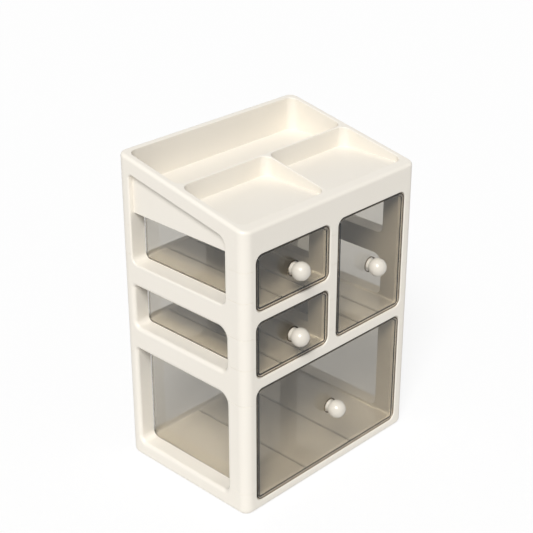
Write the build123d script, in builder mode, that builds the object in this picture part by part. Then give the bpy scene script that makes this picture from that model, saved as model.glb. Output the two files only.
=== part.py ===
from build123d import *
from collections import namedtuple
import os

os.makedirs("parts", exist_ok=True)

# A desktop drawer box. Moulded rings and hollow posts plug together into an open
# carcass, four see-through drawers slide in from the front, and the sloping top
# is an open tray. X runs across the front, Y from front to rear and Z up. The
# origin is on the table, at the middle of the box and its knobs. All lengths are
# in millimetres.

# Carcass outline
width = 270.0
depth = 190.0
front_height = 340.0
rear_height = 377.5
corner_radius = 11.0
base_edge_radius = 7.5
rim_edge_radius = 4.0

# Posts and uprights in plan
post_face = 16.8            # front width of a corner post
upright_face = 12.6         # front width of the centre upright
side_thickness = 20.0       # posts and side rails, measured across
front_post_depth = 28.3
rear_post_depth = 17.5

# Front openings, stacked from the base up
base_rail = 12.7
bottom_opening = 142.2
lower_rail = 12.2
middle_opening = 67.0
middle_rail = 11.2
top_opening = 65.4
opening_corner = 9.0
opening_edge = 1.2          # rounding of each opening's front edge
rebate_depth = 8.0          # front to the shoulder behind a drawer's plate

# Rings: how far each reaches past the front openings that it borders
ring_drop = 15.0            # below the opening's head, at the corners
rail_drop = 10.0            # below the head, under a shelf's side rails
collar_rise = 15.5          # above the opening's sill, at the corners
ledge_rise = 5.6            # above the sill, on top of a shelf's side rails
base_ledge_rise = 8.0       # the same on the base

# Windows
window_corner = 8.0         # lower corners of a side window
head_front_corner = 12.0    # upper corners of a side window
head_rear_corner = 4.0
window_edge = 4.5           # rounding of a side window's outer edge
rear_window_corner = 4.5
recess_depth = 6.0          # set-back of the panel under the tray's rim
recess_margin = 18.7        # height of the rim above that panel
recess_edge = 2.0           # rounding of the outer edge round that panel
panel_drop = 1.2            # reach of the panel below the top opening's head

# Passages behind the openings, which the drawer tubs run through
sill_rise = 3.0             # also the thickness of a passage's floor
head_drop = 5.0
passage_corner = 3.0
bay_margin = 10.0           # passage side to the hollow under its floor
rear_rail = 11.0            # what is left of the rear behind a passage

# Mouldings
wall = 3.0
rib = 2.4
cells_per_side_rail = 4
cells_per_front_rail = 3
seam_depth = 0.3            # fine step round the outside at a post's ends
seam_height = 0.4
spigot_length = 10.0
spigot_fit = 0.15
core_corner = 4.0

# Tray on top
tray_floor_rise = 26.0      # floor above the top opening's head
tray_floor_thickness = 2.5
rim_side = 8.6
rim_front = 13.0
rim_rear = 8.6
tray_corner = 10.0
divider_thickness = 2.5
divider_setback = 100.0     # front plane to the cross divider
tray_edge = 1.0

# Drawers
plate_thickness = 2.5
plate_recess = 0.5
plate_gap = 0.8
plate_edge = 0.7
tub_wall = 2.0
tub_side_gap = 0.5
tub_runner_gap = 0.3
tub_head_gap = 1.5
tub_rear_gap = 1.0
tub_corner = 8.0
tub_edge = 4.0
floor_ribs = 2              # along each tub's floor, at its thirds
floor_rib_width = 1.6
floor_rib_height = 1.2

# Knobs and their screws
ball_radius = 10.2
ball_offset = 9.8           # ball centre in front of the plate
foot_radius = 6.8
knob_seat_gap = 1.6         # round the foot, where it is let into the plate
knob_seat_depth = 1.2
screw_radius = 2.0
screw_clearance = 0.05
screw_hole_gap = 0.3
screw_grip = 10.0           # screw length inside the knob
screw_head_radius = 4.0
screw_head_height = 2.4
screw_head_edge = 0.8

# Heights of the sills and heads
bottom_sill = base_rail
bottom_head = bottom_sill + bottom_opening
middle_sill = bottom_head + lower_rail
middle_head = middle_sill + middle_opening
top_sill = middle_head + middle_rail
top_head = top_sill + top_opening

# Heights of the seams between rings and posts
base_top = bottom_sill + collar_rise
lower_shelf_bottom = bottom_head - ring_drop
lower_shelf_top = middle_sill + collar_rise
middle_shelf_bottom = middle_head - ring_drop
middle_shelf_top = top_sill + collar_rise
tray_bottom = top_head - ring_drop

# Heights of the side rails' undersides, the ledges, the panel and the tray floor
lower_rail_bottom = bottom_head - rail_drop
middle_rail_bottom = middle_head - rail_drop
base_ledge = bottom_sill + base_ledge_rise
lower_ledge = middle_sill + ledge_rise
middle_ledge = top_sill + ledge_rise
panel_bottom = top_head - panel_drop
tray_floor = top_head + tray_floor_rise

# Planes and limits in plan
knob_reach = ball_offset + ball_radius - plate_recess
front = (knob_reach - depth) / 2
rear = front + depth
window_front = front + front_post_depth
window_rear = rear - rear_post_depth
side_inner = width / 2 - side_thickness
opening_side = width / 2 - post_face
side_overlap = side_thickness - post_face
upright_half = upright_face / 2
upright_inner = upright_half + side_overlap
tray_side = width / 2 - rim_side
shoulder = front + rebate_depth
passage_rear = rear - rear_rail
divider_front = front + divider_setback
plate_front = front + plate_recess
plate_rear = plate_front + plate_thickness
front_plane = Plane.XZ.offset(-front)
rim_slope = (rear_height - front_height) / depth
rim_plane = Plane(
    origin=(0, (front + rear) / 2, (front_height + rear_height) / 2),
    x_dir=(1, 0, 0),
    z_dir=(0, -rim_slope, 1),
)


def rim_height(y):
    """Height of the sloping rim at a place between front and rear."""
    return front_height + rim_slope * (y - front)


Opening = namedtuple("Opening", "name left right sill head")
openings = [
    Opening("bottom", -opening_side, opening_side, bottom_sill, bottom_head),
    Opening("middle", -opening_side, -upright_half, middle_sill, middle_head),
    Opening("top", -opening_side, -upright_half, top_sill, top_head),
    Opening("tall", upright_half, opening_side, middle_sill, top_head),
]


def middle(low, high):
    """Half-way point of two places."""
    return (low + high) / 2


def cut_box(left, right, near, far, low, high):
    """Take a plain block out of the part that is being built."""
    with BuildSketch(Plane.XY.offset(low)) as block:
        with Locations((middle(left, right), middle(near, far))):
            Rectangle(right - left, far - near)
    extrude(block.sketch, amount=high - low, mode=Mode.SUBTRACT)


def cut_cells(left, right, near, far, low, high, columns, rows):
    """Hollow a rail from below into a grid of cells with ribs between them."""
    cell_width = (right - left - (columns - 1) * rib) / columns
    cell_depth = (far - near - (rows - 1) * rib) / rows
    with BuildSketch(Plane.XY.offset(low)) as cells:
        with Locations((middle(left, right), middle(near, far))):
            with GridLocations(cell_width + rib, cell_depth + rib, columns, rows):
                Rectangle(cell_width, cell_depth)
    extrude(cells.sketch, amount=high - low, mode=Mode.SUBTRACT)


def cut_opening(opening):
    """Cut the rebate for a drawer's front plate and the passage for its tub."""
    centre_x = middle(opening.left, opening.right)
    with BuildSketch(front_plane) as rebate:
        with Locations((centre_x, middle(opening.sill, opening.head))):
            RectangleRounded(opening.right - opening.left, opening.head - opening.sill, opening_corner)
    extrude(rebate.sketch, amount=-rebate_depth, mode=Mode.SUBTRACT)
    fillet(edges(Select.LAST).filter_by_position(Axis.Y, front, front), opening_edge)
    low = opening.sill + sill_rise
    high = opening.head - head_drop
    with BuildSketch(front_plane.offset(-rebate_depth)) as passage:
        with Locations((centre_x, middle(low, high))):
            RectangleRounded(opening.right - opening.left - 2 * side_overlap, high - low, passage_corner)
    extrude(passage.sketch, amount=shoulder - passage_rear, mode=Mode.SUBTRACT)


def cut_window(side, low, high):
    """Cut one side window through the side wall, with soft corners."""
    with BuildSketch(Plane.YZ.offset(side * width / 2)) as window:
        with Locations((middle(window_front, window_rear), middle(low, high))):
            Rectangle(window_rear - window_front, high - low)
        fillet(vertices().group_by(Axis.Y)[0], window_corner)
        fillet(vertices().group_by(Axis.Y)[-1].sort_by(Axis.X)[0], head_front_corner)
        fillet(vertices().group_by(Axis.Y)[-1].sort_by(Axis.X)[-1], head_rear_corner)
    extrude(window.sketch, amount=-side * side_thickness, mode=Mode.SUBTRACT)
    fillet(edges(Select.LAST).filter_by_position(Axis.X, side * width / 2, side * width / 2), window_edge)


def cut_rear_window(left, right, low, high):
    """Cut one opening through the rear, between two rails."""
    with BuildSketch(Plane.XZ.offset(-rear)) as window:
        with Locations((middle(left, right), middle(low, high))):
            RectangleRounded(right - left, high - low, rear_window_corner)
    extrude(window.sketch, amount=rear_post_depth, mode=Mode.SUBTRACT)
    fillet(edges(Select.LAST).filter_by_position(Axis.Y, rear, rear), opening_edge)


def cut_recessed_window(side, low, high):
    """Cut the top window, whose upper part is a panel set back under the sloping rim."""
    with BuildSketch(Plane.YZ.offset(side * width / 2)) as recess:
        with BuildLine():
            Polyline(
                (window_front, low),
                (window_rear, low),
                (window_rear, rim_height(window_rear) - recess_margin),
                (window_front, rim_height(window_front) - recess_margin),
                close=True,
            )
        make_face()
        fillet(vertices().group_by(Axis.Y)[0], window_corner)
        fillet(vertices().sort_by(Axis.Y)[-1], head_rear_corner)
        fillet(vertices().filter_by_position(Axis.Y, high, rear_height).sort_by(Axis.X)[0], head_front_corner)
    extrude(recess.sketch, amount=-side * recess_depth, mode=Mode.SUBTRACT)
    fillet(edges(Select.LAST).filter_by_position(Axis.X, side * width / 2, side * width / 2), recess_edge)
    with BuildSketch(Plane.YZ.offset(side * (width / 2 - recess_depth))) as window:
        with Locations((middle(window_front, window_rear), middle(low, high))):
            Rectangle(window_rear - window_front, high - low)
        fillet(vertices().group_by(Axis.Y)[0], window_corner)
    extrude(window.sketch, amount=-side * (side_thickness - recess_depth), mode=Mode.SUBTRACT)


# Fine steps round the outside at the posts' lower and upper ends, to be cut away
with BuildPart() as seams:
    for step_bottom in (
        base_top,
        lower_shelf_bottom - seam_height,
        lower_shelf_top,
        middle_shelf_bottom - seam_height,
        middle_shelf_top,
        tray_bottom - seam_height,
    ):
        with BuildSketch(Plane.XY.offset(step_bottom)):
            with Locations((0, middle(front, rear))):
                RectangleRounded(width, depth, corner_radius)
                RectangleRounded(
                    width - 2 * seam_depth,
                    depth - 2 * seam_depth,
                    corner_radius - seam_depth,
                    mode=Mode.SUBTRACT,
                )
        extrude(amount=seam_height)


# Carcass before it is parted into rings and posts
with BuildPart() as carcass:
    with BuildSketch():
        with Locations((0, middle(front, rear))):
            RectangleRounded(width, depth, corner_radius)
    extrude(amount=rear_height + rim_edge_radius)
    split(bisect_by=rim_plane, keep=Keep.BOTTOM)
    fillet(faces().sort_by(Axis.Z)[-1].edges(), rim_edge_radius)
    fillet(faces().sort_by(Axis.Z)[0].edges(), base_edge_radius)

    for opening in openings:
        cut_opening(opening)
    for side in (-1, 1):
        cut_window(side, base_ledge, lower_rail_bottom)
        cut_window(side, lower_ledge, middle_rail_bottom)
        cut_recessed_window(side, middle_ledge, panel_bottom)
        left, right = sorted((side * upright_inner, side * side_inner))
        cut_rear_window(left, right, middle_sill + sill_rise, middle_head - head_drop)
        cut_rear_window(left, right, top_sill + sill_rise, top_head - head_drop)
    cut_rear_window(-side_inner, side_inner, bottom_sill + sill_rise, bottom_head - head_drop)

    # The centre wall is left as posts at front and rear and a stepped beam on each shelf
    for ledge, beam_top, next_beam in (
        (lower_ledge, lower_shelf_top, middle_rail_bottom),
        (middle_ledge, middle_shelf_top, panel_bottom),
    ):
        cut_box(-upright_inner, -upright_half, window_front, window_rear, ledge, next_beam)
        cut_box(upright_half, upright_inner, window_front, window_rear, ledge, next_beam)
        cut_box(-upright_half, upright_half, window_front, window_rear, beam_top, next_beam)

    # Hollows under the floors that the drawers slide on
    bay_outer = side_inner - bay_margin
    bay_centre = upright_inner + bay_margin
    cut_box(-bay_outer, bay_outer, window_front, window_rear, 0, bottom_sill)
    cut_box(-bay_outer, -bay_centre, window_front, window_rear, bottom_head - head_drop, middle_sill)
    cut_box(bay_centre, bay_outer, window_front, window_rear, bottom_head - head_drop, middle_sill)
    cut_box(-bay_outer, -bay_centre, window_front, window_rear, middle_head - head_drop, top_sill)

    # Tray compartments: one across the rear and two in front of the cross divider
    with BuildSketch(Plane.XY.offset(tray_floor)):
        rear_near = divider_front + divider_thickness
        rear_far = rear - rim_rear
        with Locations((0, middle(rear_near, rear_far))):
            RectangleRounded(2 * tray_side, rear_far - rear_near, tray_corner)
        front_near = front + rim_front
        front_width = tray_side - divider_thickness / 2
        front_centre = middle(divider_thickness / 2, tray_side)
        with Locations(
            (-front_centre, middle(front_near, divider_front)),
            (front_centre, middle(front_near, divider_front)),
        ):
            RectangleRounded(front_width, divider_front - front_near, tray_corner)
    extrude(amount=rear_height - tray_floor + rim_edge_radius, mode=Mode.SUBTRACT)
    fillet(
        edges(Select.LAST).filter_by(lambda edge: abs(rim_plane.to_local_coords(edge.center()).Z) < 0.01),
        tray_edge,
    )

    # Hollow under the tray floor, inside its panels and behind its front and rear walls
    hollow_top = tray_floor - tray_floor_thickness
    hollow_bottom = top_head - head_drop
    hollow_side = width / 2 - recess_depth - rib
    cut_box(-hollow_side, hollow_side, window_front, window_rear, hollow_bottom, hollow_top)
    for left, right in ((-side_inner, -upright_inner), (upright_inner, side_inner)):
        cut_box(left, right, shoulder + wall, window_front, hollow_bottom, hollow_top)
        cut_box(left, right, window_rear, rear - wall, hollow_bottom, hollow_top)

    # Cells under the side rails and the centre beams
    outer = width / 2 - window_edge - rib
    base_outer = width / 2 - base_edge_radius - wall
    side_cell = bay_outer + rib
    centre_cell = bay_centre - rib
    for left, right, low, high in (
        (side_cell, base_outer, 0, bottom_sill),
        (-base_outer, -side_cell, 0, bottom_sill),
        (side_cell, outer, lower_rail_bottom, middle_sill),
        (-outer, -side_cell, lower_rail_bottom, middle_sill),
        (-centre_cell, centre_cell, bottom_head - head_drop, middle_sill),
        (side_inner + rib, outer, middle_rail_bottom, top_sill),
        (-outer, -side_cell, middle_rail_bottom, top_sill),
        (-centre_cell, upright_inner - rib, middle_rail_bottom, top_sill),
    ):
        cut_cells(left, right, window_front, window_rear, low, high, 1, cells_per_side_rail)

    # Cells under the front and rear rails
    for near, far, base_near, base_far in (
        (shoulder + wall, window_front - rib, front + wall + base_edge_radius, window_front - rib),
        (window_rear + rib, rear - wall, window_rear + rib, rear - wall - base_edge_radius),
    ):
        for left, right in ((-side_inner, -upright_inner), (upright_inner, side_inner)):
            cut_cells(left, right, base_near, base_far, 0, bottom_sill, cells_per_front_rail, 1)
            cut_cells(left, right, near, far, bottom_head - head_drop, middle_sill, cells_per_front_rail, 1)
        cut_cells(-side_inner, -upright_inner, near, far, middle_head - head_drop, top_sill, cells_per_front_rail, 1)
    cut_cells(
        upright_inner,
        side_inner,
        passage_rear + rib,
        rear - rib,
        middle_head - head_drop,
        top_sill,
        cells_per_front_rail,
        1,
    )
    add(seams.part, mode=Mode.SUBTRACT)


# Where posts plug on to the rings: the hollow inside each post
Seat = namedtuple("Seat", "name x y width depth")
post_x = middle(side_inner, width / 2)
front_y = middle(shoulder, window_front)
rear_y = middle(window_rear, rear)
post_across = side_thickness - 2 * wall
upright_across = 2 * upright_inner - 2 * wall
front_core = window_front - shoulder - 2 * wall
rear_core = rear_post_depth - 2 * wall
corner_seats = [
    Seat("front_left", -post_x, front_y, post_across, front_core),
    Seat("front_right", post_x, front_y, post_across, front_core),
    Seat("rear_left", -post_x, rear_y, post_across, rear_core),
    Seat("rear_right", post_x, rear_y, post_across, rear_core),
]
upright_seats = [
    Seat("front", 0, front_y, upright_across, front_core),
    Seat("rear", 0, rear_y, upright_across, rear_core),
]


def finish_piece(part, name):
    """Name a finished piece and write it out."""
    part.label = name
    export_step(part, f"parts/{name}.step")


def carcass_slice(low, high):
    """The carcass between two seams."""
    with BuildPart() as piece:
        add(carcass.part)
        split(bisect_by=Plane.XY.offset(low), keep=Keep.TOP)
        split(bisect_by=Plane.XY.offset(high), keep=Keep.BOTTOM)
    return piece.part


def core_sketch(seats, height, inset):
    """The hollows of a set of posts, drawn smaller by an inset all round."""
    with BuildSketch(Plane.XY.offset(height)) as cores:
        for seat in seats:
            with Locations((seat.x, seat.y)):
                RectangleRounded(seat.width - 2 * inset, seat.depth - 2 * inset, core_corner - inset)
    return cores.sketch


def make_ring(name, low, high, seats_below, seats_above, bore_low, bore_high):
    """One ring of the carcass, with a hollow spigot for each post that plugs on to it."""
    with BuildPart() as ring:
        add(carcass_slice(low, high))
        if seats_below:
            extrude(core_sketch(seats_below, low, spigot_fit), amount=-spigot_length)
        if seats_above:
            extrude(core_sketch(seats_above, high, spigot_fit), amount=spigot_length)
        bores = core_sketch(seats_below or seats_above, bore_low, spigot_fit + wall)
        extrude(bores, amount=bore_high - bore_low, mode=Mode.SUBTRACT)
    finish_piece(ring.part, name)


def make_posts(tier, low, high, seats, kind):
    """The hollow posts of one tier, between two rings."""
    tier_slice = carcass_slice(low, high)
    for seat in seats:
        with BuildPart() as post:
            add(tier_slice.solids().sort_by_distance((seat.x, seat.y, middle(low, high)))[0])
            extrude(core_sketch([seat], low, 0), amount=high - low, mode=Mode.SUBTRACT)
        finish_piece(post.part, f"{tier}_{kind}_{seat.name}")


def knob_seat(opening):
    """Plane on the plate's face at a knob, looking out of the front."""
    origin = (middle(opening.left, opening.right), plate_front, middle(opening.sill, opening.head))
    return Plane(origin=origin, x_dir=(1, 0, 0), z_dir=(0, -1, 0))


def make_tub(opening):
    """A see-through drawer: an open-topped tub moulded in one with its front plate."""
    left = opening.left + side_overlap + tub_side_gap
    right = opening.right - side_overlap - tub_side_gap
    low = opening.sill + sill_rise + tub_runner_gap
    high = opening.head - head_drop - tub_head_gap
    tub_rear = passage_rear - tub_rear_gap
    with BuildPart() as tub:
        with BuildSketch(Plane.XY.offset(low)) as footprint:
            with Locations((middle(left, right), middle(plate_rear, tub_rear))):
                Rectangle(right - left, tub_rear - plate_rear)
            fillet(vertices().group_by(Axis.Y)[-1], tub_corner)
        extrude(footprint.sketch, amount=high - low)
        fillet(edges().group_by(Axis.Z)[0].sort_by(Axis.Y)[1:], tub_edge)
        offset(amount=-tub_wall, openings=[faces().sort_by(Axis.Z)[-1], faces().sort_by(Axis.Y)[0]])
        rib_length = tub_rear - tub_wall - plate_rear
        with BuildSketch(Plane.XY.offset(low + tub_wall)) as ribs:
            with Locations((middle(left, right), plate_rear + rib_length / 2)):
                with GridLocations((right - left) / (floor_ribs + 1), 0, floor_ribs, 1):
                    Rectangle(floor_rib_width, rib_length)
        extrude(ribs.sketch, amount=floor_rib_height)
        with BuildSketch(Plane.XZ.offset(-plate_rear)) as plate:
            with Locations((middle(opening.left, opening.right), middle(opening.sill, opening.head))):
                RectangleRounded(
                    opening.right - opening.left - 2 * plate_gap,
                    opening.head - opening.sill - 2 * plate_gap,
                    opening_corner - plate_gap,
                )
        extrude(plate.sketch, amount=plate_thickness)
        fillet(edges().group_by(Axis.Y)[0], plate_edge)
        with Locations(knob_seat(opening)):
            CounterBoreHole(
                screw_radius + screw_hole_gap,
                foot_radius + knob_seat_gap,
                knob_seat_depth,
                plate_thickness,
            )
    finish_piece(tub.part, f"{opening.name}_drawer_tub")


def knob_plane(opening):
    """Plane along a knob's axis: local X points out of the front, from the plate's face."""
    return Plane(origin=knob_seat(opening).origin, x_dir=(0, -1, 0), z_dir=(0, 0, 1))


def make_knob(opening):
    """A ball knob with a short round foot and a blind hole for its screw."""
    plane = knob_plane(opening)
    foot_height = ball_offset - (ball_radius**2 - foot_radius**2) ** 0.5
    with BuildPart() as knob:
        with BuildSketch(plane) as profile:
            with BuildLine():
                Polyline(
                    (ball_offset + ball_radius, 0),
                    (-knob_seat_depth, 0),
                    (-knob_seat_depth, foot_radius),
                    (foot_height, foot_radius),
                )
                ThreePointArc(
                    (foot_height, foot_radius),
                    (ball_offset, ball_radius),
                    (ball_offset + ball_radius, 0),
                )
            make_face()
            with Locations((middle(-knob_seat_depth, screw_grip), 0)):
                Rectangle(
                    screw_grip + knob_seat_depth,
                    2 * (screw_radius + screw_clearance),
                    mode=Mode.SUBTRACT,
                )
        revolve(profile.sketch, axis=Axis(plane.origin, plane.x_dir))
    finish_piece(knob.part, f"{opening.name}_drawer_knob")


def make_screw(opening):
    """The screw that holds a knob, put in from inside the tub."""
    plane = knob_plane(opening)
    tip = screw_grip - 2 * screw_clearance
    head_front = -plate_thickness
    head_rear = head_front - screw_head_height
    with BuildPart() as screw:
        with BuildSketch(plane) as profile:
            with BuildLine():
                Polyline(
                    (tip, 0),
                    (tip, screw_radius),
                    (head_front, screw_radius),
                    (head_front, screw_head_radius),
                    (head_rear, screw_head_radius),
                    (head_rear, 0),
                    close=True,
                )
            make_face()
            fillet(vertices().filter_by_position(Axis.X, head_rear, head_rear).sort_by(Axis.Y)[-1], screw_head_edge)
        revolve(profile.sketch, axis=Axis(plane.origin, plane.x_dir))
    finish_piece(screw.part, f"{opening.name}_drawer_screw")


# Rings from the base up
make_ring("base_frame", 0, base_top, [], corner_seats, wall, base_top + spigot_length)
make_ring(
    "lower_shelf",
    lower_shelf_bottom,
    lower_shelf_top,
    corner_seats,
    corner_seats + upright_seats,
    lower_shelf_bottom - spigot_length,
    lower_shelf_top + spigot_length,
)
make_ring(
    "middle_shelf",
    middle_shelf_bottom,
    middle_shelf_top,
    corner_seats + upright_seats,
    corner_seats + upright_seats,
    middle_shelf_bottom - spigot_length,
    middle_shelf_top + spigot_length,
)
make_ring(
    "top_tray",
    tray_bottom,
    rear_height,
    corner_seats + upright_seats,
    [],
    tray_bottom - spigot_length,
    hollow_top,
)

# Posts between the rings
make_posts("lower", base_top, lower_shelf_bottom, corner_seats, "post")
make_posts("middle", lower_shelf_top, middle_shelf_bottom, corner_seats, "post")
make_posts("upper", middle_shelf_top, tray_bottom, corner_seats, "post")
make_posts("middle", lower_shelf_top, middle_shelf_bottom, upright_seats, "upright")
make_posts("upper", middle_shelf_top, tray_bottom, upright_seats, "upright")

# Drawers
for opening in openings:
    make_tub(opening)
    make_knob(opening)
    make_screw(opening)
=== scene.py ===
import math

import bpy
from bpy.props import FloatProperty, FloatVectorProperty, IntProperty, PointerProperty
from bpy.types import Operator, Panel, PropertyGroup
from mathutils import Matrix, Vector


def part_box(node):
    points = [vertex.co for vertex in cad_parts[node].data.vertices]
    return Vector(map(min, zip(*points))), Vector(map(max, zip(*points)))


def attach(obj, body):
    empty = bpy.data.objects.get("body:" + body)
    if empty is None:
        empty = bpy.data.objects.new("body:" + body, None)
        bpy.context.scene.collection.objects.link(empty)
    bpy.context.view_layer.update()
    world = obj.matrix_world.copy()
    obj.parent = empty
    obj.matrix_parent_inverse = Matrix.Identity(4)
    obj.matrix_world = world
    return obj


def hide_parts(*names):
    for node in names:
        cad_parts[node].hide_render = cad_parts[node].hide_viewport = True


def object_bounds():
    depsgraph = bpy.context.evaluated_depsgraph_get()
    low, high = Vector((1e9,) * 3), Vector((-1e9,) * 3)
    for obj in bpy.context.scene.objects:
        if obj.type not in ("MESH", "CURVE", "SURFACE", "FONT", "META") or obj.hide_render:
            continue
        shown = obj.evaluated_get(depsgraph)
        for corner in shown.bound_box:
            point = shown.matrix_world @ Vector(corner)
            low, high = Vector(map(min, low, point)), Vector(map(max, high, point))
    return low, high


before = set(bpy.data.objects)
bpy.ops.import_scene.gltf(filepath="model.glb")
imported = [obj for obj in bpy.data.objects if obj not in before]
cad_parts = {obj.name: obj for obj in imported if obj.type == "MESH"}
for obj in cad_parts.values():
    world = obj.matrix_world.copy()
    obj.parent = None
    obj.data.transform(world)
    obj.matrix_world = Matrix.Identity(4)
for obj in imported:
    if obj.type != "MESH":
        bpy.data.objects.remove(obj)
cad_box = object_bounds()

bl_info = {
    "name": "Drawer Box",
    "version": (1, 0, 0),
    "blender": (4, 5, 0),
    "location": "View3D > Sidebar > Drawer Box",
    "description": "Finishes a desktop drawer box: cream frame, smoky drawers, knobs, screws and a stage",
    "category": "Object",
}

MILLIMETRE = 0.001
DRAWERS = ("bottom", "middle", "top", "tall")
PLASTIC_REFRACTION = 1.5
NOISE_MIDDLE = 0.5
SMOOTH_ANGLE = math.radians(35)
# A face looks along an axis if its normal's share of that axis is over this
FACING = 0.9


# Sizes and colours that a user would change

class CreamSettings(PropertyGroup):
    """The opaque moulded plastic of the frame."""

    colour: FloatVectorProperty(
        name="Colour",
        description="Main colour of the frame",
        subtype="COLOR",
        default=(0.88, 0.835, 0.755),
        min=0.0,
        max=1.0,
    )
    shade: FloatVectorProperty(
        name="Shade",
        description="Slightly deeper colour of the cloudy patches that moulding leaves",
        subtype="COLOR",
        default=(0.865, 0.815, 0.725),
        min=0.0,
        max=1.0,
    )
    roughness: FloatProperty(
        name="Roughness", description="Satin of the moulded face", default=0.34, min=0.0, max=1.0
    )
    roughness_spread: FloatProperty(
        name="Roughness spread", description="How far the satin varies", default=0.08, min=0.0, max=0.5
    )
    cloud_size: FloatProperty(
        name="Cloud size", description="Size of the cloudy patches", default=0.06, unit="LENGTH"
    )
    grain_size: FloatProperty(
        name="Grain size", description="Size of the mould's fine grain", default=0.0006, unit="LENGTH"
    )
    grain_depth: FloatProperty(
        name="Grain depth", description="Depth of the mould's fine grain", default=0.00001, unit="LENGTH"
    )


class SmokeSettings(PropertyGroup):
    """The see-through plastic of the drawers."""

    tint: FloatVectorProperty(
        name="Tint",
        description="What one wall lets through of each colour, at its faces",
        subtype="COLOR",
        default=(0.98, 0.98, 0.975),
        min=0.0,
        max=1.0,
    )
    smoke: FloatVectorProperty(
        name="Smoke",
        description="What the depth of the plastic lets through of each colour",
        subtype="COLOR",
        default=(0.515, 0.47, 0.38),
        min=0.0,
        max=1.0,
    )
    density: FloatProperty(
        name="Density", description="How fast the smoke takes light away, per metre", default=215.0, min=0.0
    )
    refraction: FloatProperty(
        name="Refraction", description="Index of refraction of clear styrene", default=1.53, min=1.0, max=2.0
    )
    roughness: FloatProperty(
        name="Roughness", description="Polish of the moulded face", default=0.015, min=0.0, max=1.0
    )
    # Painted shade: a dark colour painted along each front's edges and round its knob's seat, standing in for
    # light caught inside the plate and the shade in the gaps round it
    painted_edge_shade: FloatVectorProperty(
        name="Edge colour",
        description="What a front lets through along its edges, where light is caught inside the plate",
        subtype="COLOR",
        default=(0.17, 0.125, 0.085),
        min=0.0,
        max=1.0,
    )
    edge_width: FloatProperty(
        name="Edge width", description="Width of those dark edges", default=0.0017, unit="LENGTH"
    )
    front_corner: FloatProperty(
        name="Front corner", description="Radius of a front's corners", default=0.0082, unit="LENGTH"
    )
    front_depth: FloatProperty(
        name="Front depth", description="Thickness of a front's plate", default=0.003, unit="LENGTH"
    )
    seat_radius: FloatProperty(
        name="Seat radius", description="Radius of a knob's round seat", default=0.0084, unit="LENGTH"
    )
    ripple_size: FloatProperty(
        name="Ripple size", description="Length of the moulding's soft waves", default=0.035, unit="LENGTH"
    )
    ripple_depth: FloatProperty(
        name="Ripple depth", description="Height of the moulding's soft waves", default=0.00002, unit="LENGTH"
    )


class KnobSettings(PropertyGroup):
    """The glossy balls and the screws that hold them."""

    colour: FloatVectorProperty(
        name="Colour",
        description="Colour of the balls",
        subtype="COLOR",
        default=(0.71, 0.665, 0.585),
        min=0.0,
        max=1.0,
    )
    roughness: FloatProperty(
        name="Roughness", description="Gloss of the balls", default=0.26, min=0.0, max=1.0
    )
    screw_colour: FloatVectorProperty(
        name="Screw colour",
        description="Colour of the plated screws",
        subtype="COLOR",
        default=(0.62, 0.62, 0.60),
        min=0.0,
        max=1.0,
    )
    screw_sides: IntProperty(name="Screw sides", description="Sides of a round screw", default=48, min=8)
    shank_radius: FloatProperty(
        name="Shank radius", description="Radius of a screw's shank", default=0.002, unit="LENGTH"
    )
    head_height: FloatProperty(
        name="Head height", description="Height of a screw's head", default=0.0024, unit="LENGTH"
    )
    head_rounding: FloatProperty(
        name="Head rounding", description="Rounding of the head's rim", default=0.0012, unit="LENGTH"
    )
    recess_length: FloatProperty(
        name="Recess length", description="Length of the cross recess's arms", default=0.0044, unit="LENGTH"
    )
    recess_width: FloatProperty(
        name="Recess width", description="Width of the cross recess's arms", default=0.0011, unit="LENGTH"
    )
    recess_depth: FloatProperty(
        name="Recess depth", description="Depth of the cross recess", default=0.0015, unit="LENGTH"
    )


class StageSettings(PropertyGroup):
    """Camera, lamp, sky and floor."""

    camera_place: FloatVectorProperty(
        name="Camera",
        description="Where the camera stands",
        subtype="TRANSLATION",
        unit="LENGTH",
        default=(-0.93789, -0.89264, 0.86253),
    )
    camera_pitch: FloatProperty(
        name="Pitch",
        description="How far the camera looks down",
        subtype="ANGLE",
        default=math.radians(26.06),
    )
    camera_turn: FloatProperty(
        name="Turn",
        description="How far the camera is turned to the right",
        subtype="ANGLE",
        default=math.radians(45.94),
    )
    lens: FloatProperty(name="Lens", description="Focal length in millimetres", default=86.99)
    sky_strength: FloatProperty(name="Sky", description="Strength of the light all round", default=0.27)
    key_place: FloatVectorProperty(
        name="Key place",
        description="The side that the lamp's parallel light comes from, seen from the box",
        subtype="TRANSLATION",
        unit="LENGTH",
        default=(-1.05, -0.75, 1.35),
    )
    key_spread: FloatProperty(
        name="Key spread",
        description="How wide the lamp is, seen from the box",
        subtype="ANGLE",
        default=math.radians(22.0),
    )
    key_strength: FloatProperty(
        name="Key",
        description="Light of the lamp on a face turned to it, in watts per square metre",
        default=2.75,
    )
    floor_size: FloatProperty(name="Floor", description="Width of the floor", default=40.0, unit="LENGTH")
    floor_colour: FloatVectorProperty(
        name="Floor colour",
        description="Colour of the floor",
        subtype="COLOR",
        default=(0.80, 0.80, 0.80),
        min=0.0,
        max=1.0,
    )
    floor_share: FloatProperty(
        name="Floor share", description="Share of plain white in the floor that is seen", default=0.75
    )
    floor_glass_share: FloatProperty(
        name="Floor share in glass", description="The same share in mirrors and through glass", default=0.35
    )
    floor_white: FloatProperty(
        name="Floor white", description="Strength of that plain white", default=1.075
    )


class DrawerBoxSettings(PropertyGroup):
    """All settings of the drawer box."""

    cream: PointerProperty(type=CreamSettings)
    smoke: PointerProperty(type=SmokeSettings)
    knob: PointerProperty(type=KnobSettings)
    stage: PointerProperty(type=StageSettings)


# Shader sums as Python expressions

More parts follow.
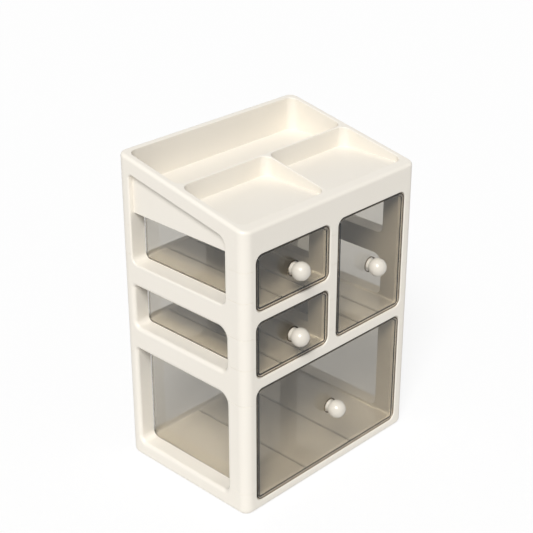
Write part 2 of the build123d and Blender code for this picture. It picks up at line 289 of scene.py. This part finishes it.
class Value:
    """A number that a shader works out; sums of values add Math nodes."""

    def __init__(self, tree, socket):
        self.tree = tree
        self.socket = socket

    def combine(self, operation, first, second):
        node = self.tree.node("ShaderNodeMath", {0: first, 1: second}, operation=operation)
        return self.tree.value(node)

    def __add__(self, other):
        return self.combine("ADD", self, other)

    def __radd__(self, other):
        return self.combine("ADD", other, self)

    def __sub__(self, other):
        return self.combine("SUBTRACT", self, other)

    def __rsub__(self, other):
        return self.combine("SUBTRACT", other, self)

    def __mul__(self, other):
        return self.combine("MULTIPLY", self, other)

    def __rmul__(self, other):
        return self.combine("MULTIPLY", other, self)

    def __pow__(self, other):
        return self.combine("POWER", self, other)

    def __lt__(self, other):
        return self.combine("LESS_THAN", self, other)

    def __abs__(self):
        return self.larger(-1.0 * self)

    def larger(self, other):
        return self.combine("MAXIMUM", self, other)

    def smaller(self, other):
        return self.combine("MINIMUM", self, other)


class ShaderTree:
    """The node tree of one material or world, built from nothing."""

    def __init__(self, owner):
        owner.use_nodes = True
        self.tree = owner.node_tree
        self.tree.nodes.clear()

    def node(self, kind, inputs=None, **settings):
        """Add a node, make its settings, then fill or link its inputs."""
        node = self.tree.nodes.new(kind)
        for name, setting in settings.items():
            setattr(node, name, setting)
        for name, given in (inputs or {}).items():
            if isinstance(given, Value):
                self.tree.links.new(given.socket, node.inputs[name])
            else:
                node.inputs[name].default_value = given
        return node

    def value(self, node, output=0):
        """One output of a node as a value."""
        return Value(self, node.outputs[output])

    def place(self):
        """The point on the piece, in metres."""
        return self.value(self.node("ShaderNodeTexCoord"), "Object")

    def noise(self, place, size, detail=2.0):
        """Soft noise from 0 to 1 whose lumps have about the given size."""
        inputs = {"Vector": place, "Scale": 1.0 / size, "Detail": detail}
        return self.value(self.node("ShaderNodeTexNoise", inputs), "Fac")

    def fade(self, value, start, end):
        """Fall softly from 1 to 0 as a value goes from start to end."""
        inputs = {"Value": value, "From Min": start, "From Max": end, "To Min": 1.0, "To Max": 0.0}
        return self.value(self.node("ShaderNodeMapRange", inputs, interpolation_type="SMOOTHSTEP"))

    def blend(self, share, first, second):
        """A colour between two others."""
        inputs = {"Factor": share, 6: (*first, 1.0), 7: (*second, 1.0)}
        return self.value(self.node("ShaderNodeMix", inputs, data_type="RGBA"), 2)

    def seen(self, straight_share=1.0, glass_share=1.0):
        """A share for rays that show a thing to the camera straight, another by mirror or glass, else 0."""
        path = self.node("ShaderNodeLightPath")
        straight = self.value(path, "Is Camera Ray")
        mirrored = self.value(path, "Is Glossy Ray")
        through = self.value(path, "Is Transmission Ray")
        return (straight_share * straight).larger(glass_share * mirrored.larger(through))

    def bump(self, height, depth):
        """A normal that follows a height from 0 to 1."""
        return self.value(self.node("ShaderNodeBump", {"Height": height, "Distance": depth}))


def new_material(name):
    """An empty material and its tree."""
    material = bpy.data.materials.new(name)
    return material, ShaderTree(material)


def cream_plastic(settings):
    """Opaque satin plastic with faint moulding clouds and a fine grain."""
    material, tree = new_material("cream_plastic")
    place = tree.place()
    cloud_detail = 3.0
    clouds = tree.noise(place, settings.cloud_size, cloud_detail)
    grain = tree.noise(place, settings.grain_size)
    surface = tree.node("ShaderNodeBsdfPrincipled", {
        "Base Color": tree.blend(clouds, settings.colour, settings.shade),
        "Roughness": settings.roughness + settings.roughness_spread * (grain - NOISE_MIDDLE),
        "Normal": tree.bump(grain, settings.grain_depth),
        "IOR": PLASTIC_REFRACTION,
    })
    tree.node("ShaderNodeOutputMaterial", {"Surface": tree.value(surface)})
    return material


def painted_edge_shade_mask(tree, place, drawer, settings):
    """Painted shade mask: 1 along the edge of a drawer's rounded front and round its knob's seat, where dark
    lines are painted for light caught inside the plate and shade in the gaps, 0 elsewhere.
    """
    low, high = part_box(f"{drawer}_drawer_tub")
    knob_low, knob_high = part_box(f"{drawer}_drawer_knob")
    middle = (low + high) / 2
    knob = (knob_low + knob_high) / 2
    corner = settings.front_corner
    solid_share = 0.6
    solid_width = solid_share * settings.edge_width
    axes = tree.node("ShaderNodeSeparateXYZ", {0: place})
    across, along, up = (tree.value(axes, name) for name in "XYZ")
    aside = abs(across - middle.x) - (high.x - middle.x - corner)
    above = abs(up - middle.z) - (high.z - middle.z - corner)
    past_corner = (aside.larger(0.0) ** 2.0 + above.larger(0.0) ** 2.0) ** 0.5
    from_outline = corner - past_corner - aside.larger(above).smaller(0.0)
    from_knob = ((across - knob.x) ** 2.0 + (up - knob.z) ** 2.0) ** 0.5
    from_seat = abs(from_knob - settings.seat_radius)
    # painted shade: a dark band along the front's rim and a dark ring round the knob's seat
    painted_outline = tree.fade(from_outline, solid_width, settings.edge_width)
    seat = tree.fade(from_seat, solid_width / 2, settings.edge_width / 2)
    return (along < low.y + settings.front_depth) * painted_outline.larger(seat)


def smoke_plastic(drawer, settings):
    """Clear plastic whose smoke darkens what is seen through it, with shade painted into its colour along a
    front's edges and round its knob's seat.
    """
    material, tree = new_material(f"{drawer}_smoke_plastic")
    place = tree.place()
    ripples = tree.noise(place, settings.ripple_size)
    # Painted shade: the base colour turns dark along the front's edges and round the knob's seat
    edges = painted_edge_shade_mask(tree, place, drawer, settings)
    glass = tree.node("ShaderNodeBsdfPrincipled", {
        "Base Color": tree.blend(edges, settings.tint, settings.painted_edge_shade),
        "Roughness": settings.roughness * (NOISE_MIDDLE + ripples),
        "Normal": tree.bump(ripples, settings.ripple_depth),
        "IOR": settings.refraction,
        "Transmission Weight": 1.0,
    })
    clear = tree.node("ShaderNodeBsdfTransparent", {"Color": (1.0, 1.0, 1.0, 1.0)})
    path = tree.node("ShaderNodeLightPath")
    surface = tree.node("ShaderNodeMixShader", {
        "Fac": tree.value(path, "Is Shadow Ray"),
        1: tree.value(glass),
        2: tree.value(clear),
    })
    smoke = tree.node("ShaderNodeVolumeAbsorption", {
        "Color": (*settings.smoke, 1.0),
        "Density": settings.density,
    })
    tree.node("ShaderNodeOutputMaterial", {"Surface": tree.value(surface), "Volume": tree.value(smoke)})
    return material


def knob_plastic(settings):
    """Glossy plastic of the ball knobs."""
    material, tree = new_material("knob_plastic")
    place = tree.place()
    cloud_size = 8 * MILLIMETRE
    cloud_shade = 0.97
    peel_size = 1.5 * MILLIMETRE
    peel_depth = 0.01 * MILLIMETRE
    gloss_spread = 0.06
    coat_weight = 0.12
    coat_roughness = 0.05
    clouds = tree.noise(place, cloud_size)
    peel = tree.noise(place, peel_size)
    deeper = [cloud_shade * part for part in settings.colour]
    surface = tree.node("ShaderNodeBsdfPrincipled", {
        "Base Color": tree.blend(clouds, settings.colour, deeper),
        "Roughness": settings.roughness + gloss_spread * (peel - NOISE_MIDDLE),
        "Normal": tree.bump(peel, peel_depth),
        "IOR": PLASTIC_REFRACTION,
        "Coat Weight": coat_weight,
        "Coat Roughness": coat_roughness,
    })
    tree.node("ShaderNodeOutputMaterial", {"Surface": tree.value(surface)})
    return material


def screw_steel(settings):
    """Zinc-plated steel with the fine scratches of a screwdriver."""
    material, tree = new_material("screw_steel")
    place = tree.place()
    patch_size = 1.2 * MILLIMETRE
    patch_shade = 0.75
    scratch_size = 0.15 * MILLIMETRE
    scratch_depth = 0.01 * MILLIMETRE
    polish = 0.22
    polish_spread = 0.2
    patches = tree.noise(place, patch_size)
    scratches = tree.noise(place, scratch_size)
    darker = [patch_shade * part for part in settings.screw_colour]
    surface = tree.node("ShaderNodeBsdfPrincipled", {
        "Base Color": tree.blend(patches, settings.screw_colour, darker),
        "Roughness": polish + polish_spread * scratches,
        "Normal": tree.bump(scratches, scratch_depth),
        "Metallic": 1.0,
    })
    tree.node("ShaderNodeOutputMaterial", {"Surface": tree.value(surface)})
    return material


# Help with pieces

def box_settings():
    """The drawer box's settings in this scene."""
    return bpy.context.scene.drawer_box


def finish_nodes(names, material):
    """Give a set of the frame's nodes one material."""
    for name in names:
        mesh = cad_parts[name].data
        mesh.materials.clear()
        mesh.materials.append(material)


def deselect():
    """Select nothing, so that the next tool acts on its own piece alone."""
    if bpy.context.mode != "OBJECT":
        bpy.ops.object.mode_set(mode="OBJECT")
    bpy.ops.object.select_all(action="DESELECT")


def select_faces(piece, wanted):
    """In edit mode, select the faces for which a test of the normal holds."""
    bpy.ops.object.mode_set(mode="OBJECT")
    for polygon in piece.data.polygons:
        polygon.select = wanted(polygon.normal)
    for edge in piece.data.edges:
        edge.select = False
    for vertex in piece.data.vertices:
        vertex.select = False
    for polygon in piece.data.polygons:
        if polygon.select:
            for vertex in polygon.vertices:
                piece.data.vertices[vertex].select = True
    bpy.ops.object.mode_set(mode="EDIT")
    bpy.ops.mesh.select_mode(type="FACE")


def apply_place(piece):
    """Move a piece's place into its mesh."""
    deselect()
    piece.select_set(True)
    bpy.context.view_layer.objects.active = piece
    bpy.ops.object.transform_apply(location=True, rotation=True, scale=True)


def cut_away(piece, cutter):
    """Cut one shape out of a piece and remove the cutter."""
    bpy.context.view_layer.objects.active = piece
    cut = piece.modifiers.new("cut", "BOOLEAN")
    cut.operation = "DIFFERENCE"
    cut.solver = "EXACT"
    cut.object = cutter
    bpy.ops.object.modifier_apply(modifier=cut.name)
    bpy.data.objects.remove(cutter)


# Pieces

class DRAWERBOX_OT_carcass(Operator):
    """Finish the rings, posts and uprights in cream plastic"""

    bl_idname = "drawer_box.carcass"
    bl_label = "Cream Frame"

    def execute(self, context):
        names = [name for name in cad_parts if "_drawer_" not in name]
        finish_nodes(names, cream_plastic(box_settings().cream))
        return {"FINISHED"}


class DRAWERBOX_OT_tubs(Operator):
    """Finish the drawers in smoky see-through plastic"""

    bl_idname = "drawer_box.tubs"
    bl_label = "Smoky Drawers"

    def execute(self, context):
        for drawer in DRAWERS:
            finish_nodes([f"{drawer}_drawer_tub"], smoke_plastic(drawer, box_settings().smoke))
        return {"FINISHED"}


class DRAWERBOX_OT_knobs(Operator):
    """Finish the ball knobs in glossy plastic"""

    bl_idname = "drawer_box.knobs"
    bl_label = "Ball Knobs"

    def execute(self, context):
        finish_nodes([f"{drawer}_drawer_knob" for drawer in DRAWERS], knob_plastic(box_settings().knob))
        return {"FINISHED"}


class DRAWERBOX_OT_screws(Operator):
    """Model the cross-recessed screws that hold the knobs"""

    bl_idname = "drawer_box.screws"
    bl_label = "Knob Screws"

    def execute(self, context):
        sizes = box_settings().knob
        material = screw_steel(sizes)
        first = None
        for drawer in DRAWERS:
            node = f"{drawer}_drawer_screw"
            low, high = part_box(node)
            axis = (low + high) / 2
            if first is None:
                first = self.model_screw(sizes, low, high)
                first_axis = axis
                piece = first
            else:
                deselect()
                first.select_set(True)
                bpy.context.view_layer.objects.active = first
                bpy.ops.object.duplicate()
                piece = bpy.context.active_object
                bpy.ops.transform.translate(value=axis - first_axis)
                apply_place(piece)
            piece.name = f"{drawer}_knob_screw"
            piece.data.materials.clear()
            piece.data.materials.append(material)
            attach(piece, f"{drawer}_drawer")
            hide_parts(node)
        return {"FINISHED"}

    def model_screw(self, sizes, low, high):
        """A screw along Y: a round head with a cross recess at the rear and a pointed shank in front."""
        axis = (low + high) / 2
        head_front = high.y - sizes.head_height
        radius = (high.x - low.x) / 2
        deselect()
        bpy.ops.mesh.primitive_cylinder_add(
            vertices=sizes.screw_sides,
            radius=radius,
            depth=sizes.head_height,
            location=(axis.x, high.y - sizes.head_height / 2, axis.z),
            rotation=(math.pi / 2, 0.0, 0.0),
        )
        screw = bpy.context.active_object
        apply_place(screw)
        rim_steps = 5
        tip = sizes.shank_radius / 2
        tip_taper = 0.6
        select_faces(screw, lambda normal: normal.y > FACING)
        bpy.ops.mesh.bevel(offset=sizes.head_rounding, segments=rim_steps, affect="EDGES")
        select_faces(screw, lambda normal: normal.y < -FACING)
        bpy.ops.mesh.inset(thickness=radius - sizes.shank_radius)
        bpy.ops.mesh.extrude_region_move(
            TRANSFORM_OT_translate={"value": (0.0, low.y + tip - head_front, 0.0)}
        )
        bpy.ops.mesh.extrude_region_move(TRANSFORM_OT_translate={"value": (0.0, -tip, 0.0)})
        bpy.ops.transform.resize(value=(tip_taper, 1.0, tip_taper), center_override=(axis.x, low.y, axis.z))
        deselect()
        for long_way in (True, False):
            length, width = sizes.recess_length, sizes.recess_width
            span = (length, width) if long_way else (width, length)
            bpy.ops.mesh.primitive_cube_add(size=1.0, location=(axis.x, high.y, axis.z))
            arm = bpy.context.active_object
            arm.scale = (span[0], 2 * sizes.recess_depth, span[1])
            apply_place(arm)
            cut_away(screw, arm)
        deselect()
        screw.select_set(True)
        bpy.context.view_layer.objects.active = screw
        bpy.ops.object.shade_smooth_by_angle(angle=SMOOTH_ANGLE)
        return screw


class DRAWERBOX_OT_stage(Operator):
    """Set up the camera, the lamp, the sky and the floor"""

    bl_idname = "drawer_box.stage"
    bl_label = "Stage"

    def execute(self, context):
        stage = box_settings().stage
        context.scene.view_settings.view_transform = "Standard"
        self.add_camera(context, stage)
        self.add_floor(stage)
        self.add_sky(context, stage)
        self.add_lamp(stage)
        return {"FINISHED"}

    def add_camera(self, context, stage):
        deselect()
        bpy.ops.object.camera_add(
            location=stage.camera_place,
            rotation=(math.pi / 2 - stage.camera_pitch, 0.0, -stage.camera_turn),
        )
        camera = bpy.context.active_object
        camera.data.lens = stage.lens
        camera.data.clip_end = 2 * stage.floor_size
        context.scene.camera = camera

    def add_lamp(self, stage):
        low, high = cad_box
        side = Vector(stage.key_place)
        deselect()
        bpy.ops.object.light_add(
            type="SUN",
            location=(low + high) / 2 + side,
            rotation=side.to_track_quat("Z", "Y").to_euler(),
        )
        lamp = bpy.context.active_object
        lamp.name = "key_lamp"
        lamp.data.angle = stage.key_spread
        lamp.data.energy = stage.key_strength

    def add_floor(self, stage):
        deselect()
        bpy.ops.mesh.primitive_plane_add(size=stage.floor_size, location=(0.0, 0.0, cad_box[0].z))
        floor = bpy.context.active_object
        floor.name = "floor"
        material, tree = new_material("floor")
        matt = tree.node("ShaderNodeBsdfDiffuse", {"Color": (*stage.floor_colour, 1.0)})
        white = tree.node("ShaderNodeEmission", {"Strength": stage.floor_white})
        both = tree.node("ShaderNodeMixShader", {
            "Fac": tree.seen(stage.floor_share, stage.floor_glass_share),
            1: tree.value(matt),
            2: tree.value(white),
        })
        tree.node("ShaderNodeOutputMaterial", {"Surface": tree.value(both)})
        floor.data.materials.append(material)

    def add_sky(self, context, stage):
        world = bpy.data.worlds.new("studio")
        context.scene.world = world
        tree = ShaderTree(world)
        strength = stage.sky_strength + (1.0 - stage.sky_strength) * tree.seen()
        sky = tree.node("ShaderNodeBackground", {"Color": (1.0, 1.0, 1.0, 1.0), "Strength": strength})
        tree.node("ShaderNodeOutputWorld", {"Surface": tree.value(sky)})


class DRAWERBOX_PT_panel(Panel):
    """Lists the pieces of the drawer box"""

    bl_label = "Drawer Box"
    bl_idname = "DRAWERBOX_PT_panel"
    bl_space_type = "VIEW_3D"
    bl_region_type = "UI"
    bl_category = "Drawer Box"

    def draw(self, context):
        column = self.layout.column()
        for operator in OPERATORS:
            column.operator(operator.bl_idname)


OPERATORS = (
    DRAWERBOX_OT_carcass,
    DRAWERBOX_OT_tubs,
    DRAWERBOX_OT_knobs,
    DRAWERBOX_OT_screws,
    DRAWERBOX_OT_stage,
)
CLASSES = (
    CreamSettings,
    SmokeSettings,
    KnobSettings,
    StageSettings,
    DrawerBoxSettings,
    *OPERATORS,
    DRAWERBOX_PT_panel,
)


def register():
    for entry in CLASSES:
        bpy.utils.register_class(entry)
    bpy.types.Scene.drawer_box = PointerProperty(type=DrawerBoxSettings)


def unregister():
    del bpy.types.Scene.drawer_box
    for entry in reversed(CLASSES):
        bpy.utils.unregister_class(entry)


def main():
    register()
    bpy.ops.drawer_box.carcass()
    bpy.ops.drawer_box.tubs()
    bpy.ops.drawer_box.knobs()
    bpy.ops.drawer_box.screws()
    bpy.ops.drawer_box.stage()


if __name__ == "__main__":
    main()
